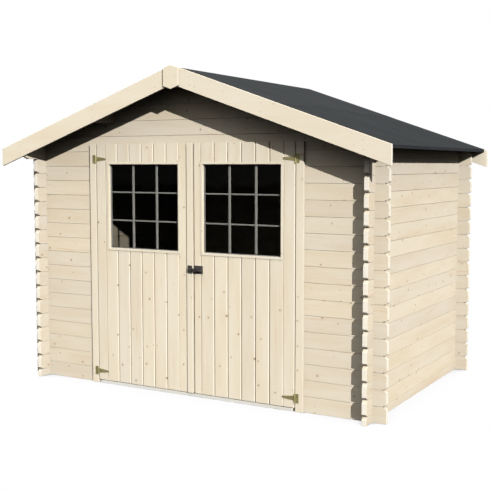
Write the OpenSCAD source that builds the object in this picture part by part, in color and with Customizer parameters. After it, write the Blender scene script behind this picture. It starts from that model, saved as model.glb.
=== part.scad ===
// Log-built garden shed with a gable roof and a pair of glazed doors.
// X runs along the front wall, the front looks along -Y, and Z is up.
// The origin is at the middle of the overall footprint, on the ground.

/* [Walls] */
// Width of the shed over the outer faces of its side walls
wall_w = 2904; // [2400:4:3500]
// Depth of the shed over the outer faces of its front and back walls
wall_d = 1898; // [1500:2:2600]
// Height of one log row
log_h = 115; // [95:1:138]
// Thickness of a wall log
log_t = 34; // [28:1:44]
// How far the front and back logs run past the side walls
front_tip = 102; // [80:1:135]
// How far the side logs run past the front wall
side_tip = 105; // [50:1:120]
// How far the side logs run past the back wall
rear_tip = 70; // [50:1:90]
// Corner cut at each protruding log end
tip_cut = 18; // [8:1:22]
// Bevel on the lower outer edge of a log, which draws the line between two rows
log_bevel = 4; // [2:0.5:6]
// Height of the tongue on top of each log
tongue_h = 8; // [5:1:12]

/* [Roof] */
// Angle of each roof slope
roof_pitch = 19.2; // [15:0.1:24]
// Height of the roof's underside over the outer face of a side wall
eaves_h = 1905; // [1880:1:1960]
// Side overhang, from a side wall to the edge of the roof boards
side_over = 177; // [150:1:300]
// Front overhang, from the front wall to the barge boards
front_over = 224; // [180:1:300]
// Rear overhang, from the tips of the side logs to the barge boards
rear_over = 2; // [1:1:130]
// Thickness of the roof boards
roof_board_t = 18; // [16:1:22]
// Thickness of the roofing felt
felt_t = 3; // [2:0.5:5]
// Height of the felt's fold down the eaves
felt_drop = 22; // [18:1:40]
// Thickness of the barge boards and of the plate over their joint
barge_t = 18; // [16:1:24]
// Height of a barge board, measured upright
barge_h = 136; // [110:1:150]
// Width of the plate that covers the barge boards' joint
apex_w = 130; // [100:2:180]
// Width of a purlin
purlin_w = 45; // [38:1:60]
// Height of a side purlin
purlin_h = 95; // [80:1:110]
// Height of the ridge purlin
ridge_h = 115; // [95:1:140]

/* [Doors] */
// Half width of the pair of door leaves
door_half_w = 876; // [730:1:950]
// Top of the door leaves above the ground
door_top = 1897; // [1850:1:1900]
// Bottom of the door leaves above the ground
door_bottom = 28; // [24:1:60]
// Thickness of a door leaf's boards
leaf_t = 18; // [16:1:24]
// Width of a door board
door_board_w = 115; // [95:1:140]
// Width of the board at a leaf's hinge edge
edge_board_w = 89; // [70:1:115]
// Clear gap round each door leaf
door_gap = 5; // [5:0.5:8]
// Middle of the gap between the leaves, right of the doorway's middle
meeting_x = 32.5; // [24:0.5:40]
// Width of the cover batten
batten_w = 48; // [44:1:70]
// Thickness of the cover batten
batten_t = 12; // [8:1:20]
// Width of the boards that frame the doorway
frame_board_w = 58; // [50:1:90]

/* [Windows] */
// Leaf left between a window's casing and the batten or the meeting gap
window_in = 63; // [50:1:120]
// Leaf left between the right window's casing and the hinge edge
window_out = 93; // [80:1:180]
// Height of a window over its casing
window_h = 687; // [500:1:700]
// Middle of the windows above the ground
window_mid_h = 1415; // [1350:1:1420]
// Width of the window casing
casing_w = 18; // [16:1:40]
// Thickness of the window casing
casing_t = 8; // [6:1:12]
// Thickness of the glass
glass_t = 4; // [3:1:5]
// Panes across a window
panes_across = 3; // [2:1:4]
// Panes up a window
panes_up = 3; // [2:1:4]
// Width of an upright glazing bar
upright_bar_w = 20; // [14:1:26]
// Width of a level glazing bar
level_bar_w = 12; // [10:1:20]

/* [Ironwork] */
// Height of the lower hinges above the ground
low_hinge_h = 98; // [80:1:200]
// Height of the upper hinges above the ground
high_hinge_h = 1781; // [1780:1:1830]
// Length of a hinge strap from its pin
strap_l = 102; // [80:1:160]
// Height of the hinge knuckle and plate
knuckle_l = 66; // [50:1:90]
// Thickness of the hinge and bolt plates
iron_t = 2; // [1.5:0.5:3]
// Height of the bolt above the ground
bolt_h = 962; // [800:1:1000]
// How far the bolt's rod slides
bolt_travel = 45; // [30:1:50]

/* [Hidden] */

// Clearance between pieces that stay together
fit = 0.3;
// Upright gap between two log rows
log_gap = 0.4;
// Spare length of a cutting shape past what it cuts
cut = 1;
// Facets of round ironwork
round_fn = 16;
tip_fn = 12;

pine = "#e8d8b8";
pale_pine = "#f0e4c8";
felt_grey = "#45484d";
zinc = "#8a8458";
black_iron = "#3a3634";
rod_steel = "#8f8c86";
bar_grey = "#b9b5a8";
glass_blue = "#303436";

// Walls
rise = tan(roof_pitch);
half_w = wall_w / 2;
tip_x = half_w + front_tip;
// Rows below the gable: the first gable row spans the doorway
door_rows = floor(door_top / log_h);
row_count = ceil((eaves_h + half_w * rise) / log_h);
// Side rows between the half log on the ground and the tall top log
side_rows = floor(eaves_h / log_h - 0.5) - 1;

// Roof: upright thickness of the sloping layers
board_v = roof_board_t / cos(roof_pitch);
felt_v = felt_t / cos(roof_pitch);
roof_half_w = half_w + side_over;
felt_edge_x = roof_half_w + fit + felt_t;
barge_past = 26;
barge_end_x = felt_edge_x + barge_past;
// The front barge boards stand above the felt; it runs on over the back ones
barge_lip = 9;
front_barge_top = board_v + fit + felt_v + barge_lip;
back_barge_top = board_v;
// The purlins and roof boards run between the barge boards' inner faces
back_barge_y = wall_d + rear_tip + rear_over;
roof_y0 = -front_over + fit;
roof_y1 = back_barge_y - fit;
purlin_x = half_w / 2;
// The top side logs run on under the front overhang to the barge boards
top_tip = -roof_y0;
eaves_batten_w = 28;
eaves_batten_h = 40;

// Doorway: the logs stop at open_x, and the jamb boards line it
jamb_t = 20;
jamb_lap = 40;
jamb_in_x = door_half_w - jamb_lap;
open_x = jamb_in_x + jamb_t + fit;
open_top = door_rows * log_h;
frame_board_t = leaf_t + door_gap;
frame_in_x = door_half_w + door_gap;
frame_out_x = frame_in_x + frame_board_w;
threshold_gap = 6;
threshold_in = 3;
threshold_h = door_bottom - threshold_gap;

// Door leaves, flush with the frame boards; the meeting gap is right of the
// cover batten, so the batten belongs to the left leaf
leaf_front_y = -frame_board_t;
leaf_back_y = leaf_front_y + leaf_t;
right_leaf_x = meeting_x + door_gap / 2;
left_leaf_x = meeting_x - door_gap / 2;
batten_x = left_leaf_x - batten_w;
door_joints = floor((door_half_w - edge_board_w) / door_board_w);
groove_w = 6;
groove_d = 4;
ledge_h = 90;
ledge_t = 18;
ledge_in = jamb_lap + door_gap;
foot_ledge_up = 60;

// Windows, both as wide as the right leaf lets them be. A casing covers the
// hole's edge in front; the one behind holds the glass and its bars in a pocket.
window_w = door_half_w - right_leaf_x - window_in - window_out;
left_mid = batten_x - window_in - window_w / 2;
right_mid = right_leaf_x + window_in + window_w / 2;
sight_w = window_w - 2 * casing_w;
sight_h = window_h - 2 * casing_w;
glass_lap = 8;
pocket_w = sight_w + 2 * glass_lap;
pocket_h = sight_h + 2 * glass_lap;
bar_rim = 12;
bar_t = 10;
glass_y = leaf_back_y + fit;
bar_y = glass_y + glass_t + fit;
casing_lip_y = bar_y + bar_t + fit;
casing_lip_t = 3;

// Hinges: the pin stands in front of the gap between leaf and frame board
knuckle_r = 4;
pin_r = 2;
pin_fit = 0.3;
pin_x = door_half_w + door_gap / 2;
pin_y = leaf_front_y - fit - knuckle_r;
knuckle_third = knuckle_l / 3;
hinge_heights = [low_hinge_h, high_hinge_h];
plate_w = 25;
plate_gap = 1;
strap_root_h = 36;
strap_tip_r = 8;

// Bolt: a slotted barrel on the right leaf, a keeper on the batten
rod_r = 5;
rod_fit = 0.5;
rod_tail = 2;
barrel_l = 74;
barrel_h = 22;
barrel_in = 6;
barrel_x = right_leaf_x + barrel_in;
barrel_sink = 1;
bolt_plate_h = 60;
keeper_y = leaf_front_y - 2 * fit - batten_t;
rod_lift = 3;
rod_y = keeper_y - iron_t - rod_lift - rod_r;
slot_h = 8;
knob_in = 16;
knob_x = barrel_x + barrel_l - knob_in;
knob_l = 24;
knob_neck_r = 3;
knob_r = 6;
knob_head = 5;
keeper_w = 12;
keeper_wing = 14;
keeper_fit = 1.5;
keeper_hole = rod_r + keeper_fit;
keeper_x = left_leaf_x - keeper_wing - keeper_w - keeper_wing;

// Overall reach in Y, from the front wall's front face
front_reach = front_over + barge_t + fit + barge_t;
back_reach = back_barge_y + barge_t + fit + barge_t;
shift_y = (front_reach - back_reach) / 2;

// Height of the roof's underside at a distance x from the middle
function under_z(x) = eaves_h + (half_w - abs(x)) * rise;

// Moves a piece drawn from the front wall's front face to its place
module place() {
    translate([0, shift_y, 0]) children();
}

// Mirrors its children to the left side when side is -1
module on_side(side) {
    mirror([side < 0 ? 1 : 0, 0, 0]) children();
}

module box(x0, x1, y0, y1, z0, z1) {
    translate([x0, y0, z0]) cube([x1 - x0, y1 - y0, z1 - z0]);
}

// Extrudes an outline drawn in X and Z from y0 to y1
module sweep_y(y0, y1) {
    translate([0, y1, 0]) rotate([90, 0, 0]) linear_extrude(y1 - y0) children();
}

// Section of a V joint, drawn across the face that it cuts
module v_cut(w, d) {
    polygon([[-w, -d], [w, -d], [0, d]]);
}

// Section of a log, its outer face at 0, with the lower outer edge bevelled
module log_section(z0, z1) {
    polygon([[log_bevel, z0], [log_t, z0], [log_t, z1], [0, z1], [0, z0 + log_bevel]]);
}

// Side elevation of a log from a to b: cut corners at its tips, and a
// quarter-height pocket above and below each wall that crosses it
module log_elevation(a, b, z0, z1, keep0, keep1, tip_a, tip_b, low_cut, high_cut) {
    a_low = tip_a > 0 ? low_cut : 0;
    a_high = tip_a > 0 ? high_cut : 0;
    b_low = tip_b > 0 ? low_cut : 0;
    b_high = tip_b > 0 ? high_cut : 0;
    notch_w = log_t + 2 * fit;
    difference() {
        polygon([[a, z0 + a_low], [a + a_low, z0], [b - b_low, z0], [b, z0 + b_low],
            [b, z1 - b_high], [b - b_high, z1], [a + a_high, z1], [a, z1 - a_high]]);
        for (x = [if (tip_a > 0) a + tip_a - fit, if (tip_b > 0) b - tip_b - log_t - fit]) {
            translate([x, z0 - cut]) square([notch_w, keep0 - z0 + cut]);
            translate([x, keep1]) square([notch_w, z1 - keep1 + cut]);
        }
    }
}

// One log along X, its outer face at y = 0 and its lower joint at row_z. A tip
// is what runs past a crossing wall, and no tip means a square end. The tongue
// and the groove stop at the crossing walls.
module wall_log(a, b, row_z, tip_a, tip_b, low_cut = tip_cut, high_cut = tip_cut,
        tongued = true, extra = 0) {
    z0 = row_z > 0 ? row_z + log_gap / 2 : 0;
    z1 = row_z + log_h - log_gap / 2 + extra;
    keep0 = max(row_z + log_h / 4 + fit / 2, z0);
    keep1 = row_z + 3 * log_h / 4 - fit / 2;
    third = log_t / 3;
    a_in = tip_a > 0 ? a + tip_a + log_t + fit : a;
    b_in = tip_b > 0 ? b - tip_b - log_t - fit : b;
    difference() {
        union() {
            intersection() {
                translate([a, 0, 0]) rotate([90, 0, 90]) linear_extrude(b - a)
                    log_section(z0, z1);
                sweep_y(-cut, log_t + cut) log_elevation(a, b, z0, z1, keep0, keep1,
                    tip_a, tip_b, low_cut, high_cut);
            }
            if (tongued) box(a_in, b_in, third, 2 * third, z1 - cut, z1 + tongue_h);
        }
        if (row_z > 0)
            box(a_in - (tip_a > 0 ? 0 : cut), b_in + (tip_b > 0 ? 0 : cut),
                third - fit, 2 * third + fit, z0 - cut, z0 + tongue_h + fit);
    }
}

// The space under the roof boards, with the fit left clear
module under_roof() {
    reach = tip_x + cut;
    sweep_y(-top_tip - cut, wall_d + rear_tip + cut)
        polygon([[-reach, -cut], [reach, -cut], [reach, under_z(reach) - fit],
            [0, under_z(0) - fit], [-reach, under_z(reach) - fit]]);
}

// A purlin at x, grown by gap for the pocket that holds it
module purlin(x, gap) {
    h = x == 0 ? ridge_h : purlin_h;
    y0 = roof_y0 - gap;
    y1 = roof_y1 + gap;
    top = gap - fit;
    intersection() {
        box(x - purlin_w / 2 - gap, x + purlin_w / 2 + gap, y0, y1,
            under_z(abs(x) + purlin_w / 2) - h - gap, under_z(0) + cut);
        sweep_y(y0 - cut, y1 + cut)
            polygon([[-half_w, 0], [half_w, 0], [half_w, under_z(half_w) + top],
                [0, under_z(0) + top], [-half_w, under_z(half_w) + top]]);
    }
}

// Turns a piece of the front wall into one of the back wall
module at_back() {
    translate([0, wall_d, 0]) mirror([0, 1, 0]) children();
}

// Front or back rows from first to last, over the full width
module full_rows(first, last) {
    for (k = [first : last])
        wall_log(-tip_x, tip_x, k * log_h, front_tip, front_tip);
}

// Cuts gable logs to the roof and pockets them for the purlins
module gable_cut() {
    difference() {
        intersection() {
            children();
            under_roof();
        }
        for (x = [-purlin_x, 0, purlin_x]) purlin(x, fit);
    }
}

// Rows beside the doorway, on the right
module front_return() {
    for (k = [0 : door_rows - 1])
        wall_log(open_x, tip_x, k * log_h, 0, front_tip);
}

module front_wall_left() {
    color(pine) place() on_side(-1) front_return();
}

module front_wall_right() {
    color(pine) place() on_side(1) front_return();
}

module front_gable() {
    color(pine) place() gable_cut() full_rows(door_rows, row_count - 1);
}

module back_wall() {
    color(pine) place() at_back() full_rows(0, door_rows - 1);
}

module back_gable() {
    color(pine) place() gable_cut() at_back() full_rows(door_rows, row_count - 1);
}

// Side wall rows lie half a row off the front ones, on a half log. The top
// log is taller and longer, and bevelled to the roof.
module side_log(j, low_cut, high_cut, tip = side_tip, tongued = true, extra = 0) {
    wall_log(-tip, wall_d + rear_tip, (j - 0.5) * log_h, tip, rear_tip,
        low_cut, high_cut, tongued, extra);
}

module side_wall() {
    intersection() {
        translate([half_w, 0, 0]) rotate([0, 0, 90]) {
            side_log(0, 0, tip_cut);
            for (j = [1 : side_rows]) side_log(j, tip_cut, tip_cut);
            side_log(side_rows + 1, tip_cut, 0, top_tip, false, log_h);
        }
        under_roof();
    }
}

module left_wall() {
    color(pine) place() on_side(-1) side_wall();
}

module right_wall() {
    color(pine) place() on_side(1) side_wall();
}

// Jamb boards and a head board line the doorway behind the leaves
module door_lining() {
    head_z = open_top - fit;
    color(pale_pine) place() {
        for (side = [-1, 1]) on_side(side)
            box(jamb_in_x, jamb_in_x + jamb_t, 0, log_t, threshold_h + fit, head_z);
        box(-jamb_in_x + fit, jamb_in_x - fit, 0, log_t, head_z - jamb_t, head_z);
    }
}

module threshold() {
    color(pale_pine) place()
        box(-open_x + fit, open_x - fit, leaf_front_y + threshold_in, log_t,
            0, threshold_h);
}

module frame_boards() {
    color(pale_pine) place() for (side = [-1, 1]) on_side(side)
        box(frame_in_x, frame_out_x, leaf_front_y, -fit, 0, door_top);
}

module ridge_purlin() {
    color(pine) place() purlin(0, 0);
}

module left_purlin() {
    color(pine) place() purlin(-purlin_x, 0);
}

module right_purlin() {
    color(pine) place() purlin(purlin_x, 0);
}

// Outline of a sloping layer between two heights above the roof's underside
module slope_layer(x0, x1, lift0, lift1) {
    polygon([[x0, under_z(x0) + lift0], [x1, under_z(x1) + lift0],
        [x1, under_z(x1) + lift1], [x0, under_z(x0) + lift1]]);
}

// Boards of the right roof slope
module roof_boards() {
    sweep_y(roof_y0, roof_y1) slope_layer(fit / 2, roof_half_w, 0, board_v);
}

module left_roof_boards() {
    color(pine) place() on_side(-1) roof_boards();
}

module right_roof_boards() {
    color(pine) place() on_side(1) roof_boards();
}

// Felt on the boards and the back barge board, folded down over the eaves edge
module felt() {
    lift = board_v + fit;
    fold_z = under_z(felt_edge_x) + lift + felt_v / 2;
    sweep_y(roof_y0, back_barge_y + barge_t)
        slope_layer(fit / 2, felt_edge_x, lift, lift + felt_v);
    sweep_y(roof_y0, roof_y1)
        translate([roof_half_w + fit, fold_z - felt_drop]) square([felt_t, felt_drop]);
}

module left_felt() {
    color(felt_grey) place() on_side(-1) felt();
}

module right_felt() {
    color(felt_grey) place() on_side(1) felt();
}

// Right barge board, its lower end cut plumb, up to top over the roof's underside
module barge(y0, top) {
    sweep_y(y0, y0 + barge_t) slope_layer(fit / 2, barge_end_x, top - barge_h, top);
}

module front_barge_left() {
    color(pale_pine) place() on_side(-1) barge(-front_over - barge_t, front_barge_top);
}

module front_barge_right() {
    color(pale_pine) place() on_side(1) barge(-front_over - barge_t, front_barge_top);
}

module back_barge_left() {
    color(pale_pine) place() on_side(-1) barge(back_barge_y, back_barge_top);
}

module back_barge_right() {
    color(pale_pine) place() on_side(1) barge(back_barge_y, back_barge_top);
}

// Plate over the barge boards' joint: its top follows the roof, its foot is a V
module apex_plate(y0, barge_top) {
    x = apex_w / 2;
    top = under_z(0) + barge_top;
    foot = top - x * rise - barge_h;
    v_h = x * rise / 2;
    sweep_y(y0, y0 + barge_t)
        polygon([[-x, top - x * rise], [-x, foot + v_h], [0, foot - v_h],
            [x, foot + v_h], [x, top - x * rise], [0, top]]);
}

module front_apex_plate() {
    color(pale_pine) place() apex_plate(-front_over - barge_t - fit - barge_t, front_barge_top);
}

module back_apex_plate() {
    color(pale_pine) place() apex_plate(back_barge_y + barge_t + fit, back_barge_top);
}

// Batten in the corner under the roof boards, along a side wall's outer face
module eaves_batten() {
    x0 = half_w + fit;
    x1 = x0 + eaves_batten_w;
    foot = under_z(x1) - eaves_batten_h;
    sweep_y(log_t + fit, wall_d - log_t - fit)
        polygon([[x0, foot], [x1, foot], [x1, under_z(x1) - fit], [x0, under_z(x0) - fit]]);
}

module left_eaves_batten() {
    color(pale_pine) place() on_side(-1) eaves_batten();
}

module right_eaves_batten() {
    color(pale_pine) place() on_side(1) eaves_batten();
}

module knuckle(z0, h) {
    translate([pin_x, pin_y, z0]) cylinder(r = knuckle_r, h = h, $fn = round_fn);
}

// Plate on the frame board, with the outer knuckles and the pin
module hinge_plate(z) {
    h = knuckle_third - fit;
    y0 = leaf_front_y - fit - iron_t;
    x0 = pin_x + knuckle_r + plate_gap;
    box(x0, x0 + plate_w, y0, y0 + iron_t, z - knuckle_l / 2, z + knuckle_l / 2);
    for (low = [z - knuckle_l / 2, z + knuckle_l / 2 - h]) {
        knuckle(low, h);
        box(pin_x, x0 + cut, y0, y0 + iron_t, low, low + h);
    }
    translate([pin_x, pin_y, z - knuckle_l / 2])
        cylinder(r = pin_r, h = knuckle_l, $fn = round_fn);
}

// Strap on the leaf: the middle knuckle and a tapered tongue with a round tip
module hinge_strap(z) {
    y0 = leaf_front_y - fit - iron_t;
    neck_h = knuckle_third / 2 - fit;
    root_x = pin_x - knuckle_r - plate_gap;
    tip_x0 = pin_x - strap_l + strap_tip_r;
    difference() {
        union() {
            knuckle(z - neck_h, 2 * neck_h);
            sweep_y(y0, y0 + iron_t) translate([0, z]) {
                translate([root_x - cut, -neck_h]) square([pin_x - root_x + cut, 2 * neck_h]);
                polygon([[root_x, -strap_root_h / 2], [root_x, strap_root_h / 2],
                    [tip_x0, strap_tip_r], [tip_x0, -strap_tip_r]]);
                translate([tip_x0, 0]) circle(strap_tip_r, $fn = tip_fn);
            }
        }
        translate([pin_x, pin_y, z - knuckle_l / 2])
            cylinder(r = pin_r + pin_fit, h = knuckle_l, $fn = round_fn);
    }
}

module left_hinge_plates() {
    color(zinc) place() on_side(-1) for (z = hinge_heights) hinge_plate(z);
}

module right_hinge_plates() {
    color(zinc) place() on_side(1) for (z = hinge_heights) hinge_plate(z);
}

module left_straps() {
    color(zinc) place() on_side(-1) for (z = hinge_heights) hinge_strap(z);
}

module right_straps() {
    color(zinc) place() on_side(1) for (z = hinge_heights) hinge_strap(z);
}

// Upright rectangle of width w and height h about a window's middle
module window_rect(mid, w, h) {
    translate([mid - w / 2, window_mid_h - h / 2]) square([w, h]);
}

// Rectangular frame between two sizes, from y0 to y0 + t
module window_ring(mid, w, h, w_in, h_in, y0, t) {
    sweep_y(y0, y0 + t) difference() {
        window_rect(mid, w, h);
        window_rect(mid, w_in, h_in);
    }
}

// Door leaf from x0 to x1, with V joints between its boards. The joints are
// counted from the hinge edge, which is on the given side.
module leaf(x0, x1, mid, side) {
    difference() {
        box(x0, x1, leaf_front_y, leaf_back_y, door_bottom, door_top);
        for (k = [0 : door_joints])
            translate([side * (door_half_w - edge_board_w - k * door_board_w),
                    leaf_front_y, door_bottom - cut])
                linear_extrude(door_top - door_bottom + 2 * cut) v_cut(groove_w, groove_d);
        sweep_y(leaf_front_y - cut, leaf_back_y + cut) window_rect(mid, sight_w, sight_h);
    }
}

module left_leaf() {
    color(pine) place() leaf(-door_half_w, left_leaf_x, left_mid, -1);
}

module right_leaf() {
    color(pine) place() leaf(right_leaf_x, door_half_w, right_mid, 1);
}

// Ledges across the back of a leaf: at its foot, under and over its window
module ledges(x0, x1) {
    y0 = leaf_back_y + fit;
    window_z0 = window_mid_h - window_h / 2;
    foot_z = door_bottom + foot_ledge_up;
    top_z = open_top - jamb_t - fit - door_gap;
    for (z = [[foot_z, foot_z + ledge_h],
              [window_z0 - fit - ledge_h, window_z0 - fit],
              [window_z0 + window_h + fit, top_z]])
        box(x0, x1, y0, y0 + ledge_t, z[0], z[1]);
}

module left_ledges() {
    color(pale_pine) place() ledges(-door_half_w + ledge_in, left_leaf_x - ledge_in);
}

module right_ledges() {
    color(pale_pine) place() ledges(right_leaf_x + ledge_in, door_half_w - ledge_in);
}

// Casings round a window: a flat one in front, and one with a lip behind
module casing(mid) {
    window_ring(mid, window_w, window_h, sight_w, sight_h,
        leaf_front_y - fit - casing_t, casing_t);
    window_ring(mid, window_w, window_h, pocket_w, pocket_h, glass_y, casing_lip_y - glass_y);
    window_ring(mid, window_w, window_h, sight_w, sight_h, casing_lip_y, casing_lip_t);
}

module left_casing() {
    color(pale_pine) place() casing(left_mid);
}

module right_casing() {
    color(pale_pine) place() casing(right_mid);
}

module glass(mid) {
    sweep_y(glass_y, glass_y + glass_t)
        window_rect(mid, pocket_w - 2 * fit, pocket_h - 2 * fit);
}

module left_glass() {
    color(glass_blue) place() glass(left_mid);
}

module right_glass() {
    color(glass_blue) place() glass(right_mid);
}

// Rim and glazing bars behind the glass, with panes of one size
module bars(mid) {
    w = pocket_w - 2 * fit;
    h = pocket_h - 2 * fit;
    pane_w = (w - 2 * bar_rim - (panes_across - 1) * upright_bar_w) / panes_across;
    pane_h = (h - 2 * bar_rim - (panes_up - 1) * level_bar_w) / panes_up;
    sweep_y(bar_y, bar_y + bar_t) difference() {
        window_rect(mid, w, h);
        for (i = [0 : panes_across - 1], k = [0 : panes_up - 1])
            translate([mid - w / 2 + bar_rim + i * (pane_w + upright_bar_w),
                    window_mid_h - h / 2 + bar_rim + k * (pane_h + level_bar_w)])
                square([pane_w, pane_h]);
    }
}

module left_bars() {
    color(bar_grey) place() bars(left_mid);
}

module right_bars() {
    color(bar_grey) place() bars(right_mid);
}

module cover_batten() {
    y1 = leaf_front_y - fit;
    color(pale_pine) place()
        box(batten_x, left_leaf_x, y1 - batten_t, y1, door_bottom, door_top);
}

// Barrel of the bolt on its plate, with a slot for the rod's knob
module bolt_body() {
    plate_y = leaf_front_y - fit - iron_t;
    x1 = barrel_x + barrel_l;
    color(black_iron) place() difference() {
        union() {
            box(barrel_x, x1, plate_y, plate_y + iron_t,
                bolt_h - bolt_plate_h / 2, bolt_h + bolt_plate_h / 2);
            box(barrel_x, x1, rod_y - barrel_h / 2, plate_y + barrel_sink,
                bolt_h - barrel_h / 2, bolt_h + barrel_h / 2);
        }
        translate([barrel_x - cut, rod_y, bolt_h]) rotate([0, 90, 0])
            cylinder(r = rod_r + rod_fit, h = barrel_l + 2 * cut, $fn = round_fn);
        box(knob_x - bolt_travel - slot_h / 2, knob_x + slot_h / 2, rod_y - barrel_h, rod_y,
            bolt_h - slot_h / 2, bolt_h + slot_h / 2);
    }
}

module bolt_rod() {
    color(rod_steel) place() {
        translate([barrel_x - rod_tail, rod_y, bolt_h]) rotate([0, 90, 0])
            cylinder(r = rod_r, h = barrel_l + 2 * rod_tail, $fn = round_fn);
        translate([knob_x, rod_y, bolt_h]) rotate([90, 0, 0])
            cylinder(r = knob_neck_r, h = knob_l, $fn = round_fn);
        translate([knob_x, rod_y - knob_l + knob_head, bolt_h]) rotate([90, 0, 0])
            cylinder(r = knob_r, h = knob_head, $fn = round_fn);
    }
}

// Keeper on the batten: the rod slides into its square hole
module bolt_keeper() {
    loop_x = keeper_x + keeper_wing;
    color(black_iron) place() difference() {
        union() {
            box(keeper_x, loop_x + keeper_w + keeper_wing, keeper_y - iron_t, keeper_y,
                bolt_h - bolt_plate_h / 2, bolt_h + bolt_plate_h / 2);
            box(loop_x, loop_x + keeper_w, rod_y - barrel_h / 2, keeper_y - barrel_sink,
                bolt_h - barrel_h / 2, bolt_h + barrel_h / 2);
        }
        box(loop_x - cut, loop_x + keeper_w + cut, rod_y - keeper_hole, rod_y + keeper_hole,
            bolt_h - keeper_hole, bolt_h + keeper_hole);
    }
}

front_wall_left();
front_wall_right();
front_gable();
back_wall();
back_gable();
left_wall();
right_wall();
door_lining();
threshold();
frame_boards();
ridge_purlin();
left_purlin();
right_purlin();
left_roof_boards();
right_roof_boards();
left_felt();
right_felt();
front_barge_left();
front_barge_right();
back_barge_left();
back_barge_right();
front_apex_plate();
back_apex_plate();
left_eaves_batten();
right_eaves_batten();
left_hinge_plates();
right_hinge_plates();
left_leaf();
left_ledges();
left_casing();
left_glass();
left_bars();
left_straps();
cover_batten();
bolt_keeper();
right_leaf();
right_ledges();
right_casing();
right_glass();
right_bars();
right_straps();
bolt_body();
bolt_rod();
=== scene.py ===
# Looks for the log-built garden shed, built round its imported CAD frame.
# Lengths are in metres. X runs along the front wall, the front looks along -Y.
import math
import random

import bmesh
import bpy
from mathutils import Matrix, Vector


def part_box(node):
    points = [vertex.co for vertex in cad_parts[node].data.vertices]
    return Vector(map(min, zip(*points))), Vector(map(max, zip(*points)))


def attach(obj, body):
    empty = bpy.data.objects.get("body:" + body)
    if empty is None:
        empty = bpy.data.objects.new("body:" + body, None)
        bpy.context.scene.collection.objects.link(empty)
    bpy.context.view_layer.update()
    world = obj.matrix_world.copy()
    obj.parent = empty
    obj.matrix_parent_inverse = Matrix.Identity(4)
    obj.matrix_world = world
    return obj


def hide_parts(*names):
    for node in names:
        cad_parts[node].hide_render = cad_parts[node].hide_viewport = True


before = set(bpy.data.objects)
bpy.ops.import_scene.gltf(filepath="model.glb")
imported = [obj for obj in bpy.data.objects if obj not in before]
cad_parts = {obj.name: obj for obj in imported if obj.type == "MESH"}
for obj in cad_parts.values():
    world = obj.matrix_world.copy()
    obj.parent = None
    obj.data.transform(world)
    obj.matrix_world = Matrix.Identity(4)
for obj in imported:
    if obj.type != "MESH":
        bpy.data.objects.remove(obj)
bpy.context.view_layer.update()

# ---------------------------------------------------------------- sizes

MM = 0.001
FIT = 0.3 * MM

# Logs: the height a row covers, the open joint between two rows, the rounding
# of long edges, and the hidden tongue in the joint
LOG_ROW = 115 * MM
LOG_GAP = 1.4 * MM
LOG_EDGE = 1.9 * MM
TONGUE_W = 10 * MM
TONGUE_H = 8 * MM
# Log tips: cut corners, the groove's open end, and the side logs' reach forward
TIP_CUT = 18 * MM
SLOT_H = 6 * MM
SLOT_L = 12 * MM
SIDE_TIP = 105 * MM
# Doors: boards, the narrower board beside the hinges, and the leaf's thickness
DOOR_BOARD = 115 * MM
EDGE_BOARD = 89 * MM
LEAF_T = 18 * MM
# Window casing: its width, its depth in the CAD, the part of that depth drawn in
# front, its lap over the glass and the lip behind the bars
CASING_W = 18 * MM
CASING_T = 8 * MM
CASING_SHOWN = 4.5 * MM
GLASS_LAP = 8 * MM
CASING_LIP = 3 * MM
# Roof
ROOF_PITCH = math.radians(19.2)
RISE = math.tan(ROOF_PITCH)
ROOF_T = 18 * MM
ROOF_BOARD = 94 * MM
BOARD_GAP = 0.2 * MM
RIDGE_GAP = 0.6 * MM
ROOF_EDGE = 2.2 * MM


def low(node):
    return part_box(node)[0]


def high(node):
    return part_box(node)[1]


WALL_X = high("right_wall").x
TIP_X = high("back_wall").x
FRONT_Y = low("door_lining").y
BACK_Y = high("back_wall").y
LOG_T = high("door_lining").y - FRONT_Y
SIDE_Y0 = FRONT_Y - SIDE_TIP
SIDE_Y1 = high("right_wall").y
TOP_LOG_Y0 = low("right_wall").y
OPEN_X = low("front_wall_right").x
EAVES_Z = low("right_roof_boards").z + (high("right_roof_boards").x - WALL_X) * RISE
DOOR_ROWS = round(low("front_gable").z / LOG_ROW)
GABLE_ROWS = math.ceil((EAVES_Z + WALL_X * RISE) / LOG_ROW)
LEAF_Y = low("right_leaf").y
DOOR_Z0 = low("right_leaf").z
DOOR_Z1 = high("right_leaf").z


def under_z(x):
    """Height of the roof boards' underside at a distance x from the middle."""
    return EAVES_Z + (WALL_X - abs(x)) * RISE


# ---------------------------------------------------------------- nodes


def new_material(name):
    mat = bpy.data.materials.new(name)
    mat.use_nodes = True
    nt = mat.node_tree
    return mat, nt, nt.nodes["Principled BSDF"]


def add(nt, kind, **settings):
    """A new node with its settings."""
    n = nt.nodes.new(kind)
    for key, value in settings.items():
        setattr(n, key, value)
    return n


def put(nt, value, socket):
    """Links an output to the socket, or sets the socket to a plain value."""
    if isinstance(value, bpy.types.NodeSocket):
        nt.links.new(value, socket)
    else:
        socket.default_value = value


def maths(nt, op, a, b=None, c=None, clamp=False):
    n = add(nt, "ShaderNodeMath", operation=op, use_clamp=clamp)
    for socket, value in zip(n.inputs, (a, b, c)):
        if value is not None:
            put(nt, value, socket)
    return n.outputs[0]


def scaled(nt, vector, factors):
    n = add(nt, "ShaderNodeVectorMath", operation="MULTIPLY")
    put(nt, vector, n.inputs[0])
    n.inputs[1].default_value = factors
    return n.outputs[0]


def noise(nt, vector, scale=1.0, detail=3.0, rough=0.5, distortion=0.0):
    n = add(nt, "ShaderNodeTexNoise")
    put(nt, vector, n.inputs["Vector"])
    n.inputs["Scale"].default_value = scale
    n.inputs["Detail"].default_value = detail
    n.inputs["Roughness"].default_value = rough
    n.inputs["Distortion"].default_value = distortion
    return n.outputs["Fac"]


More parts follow.
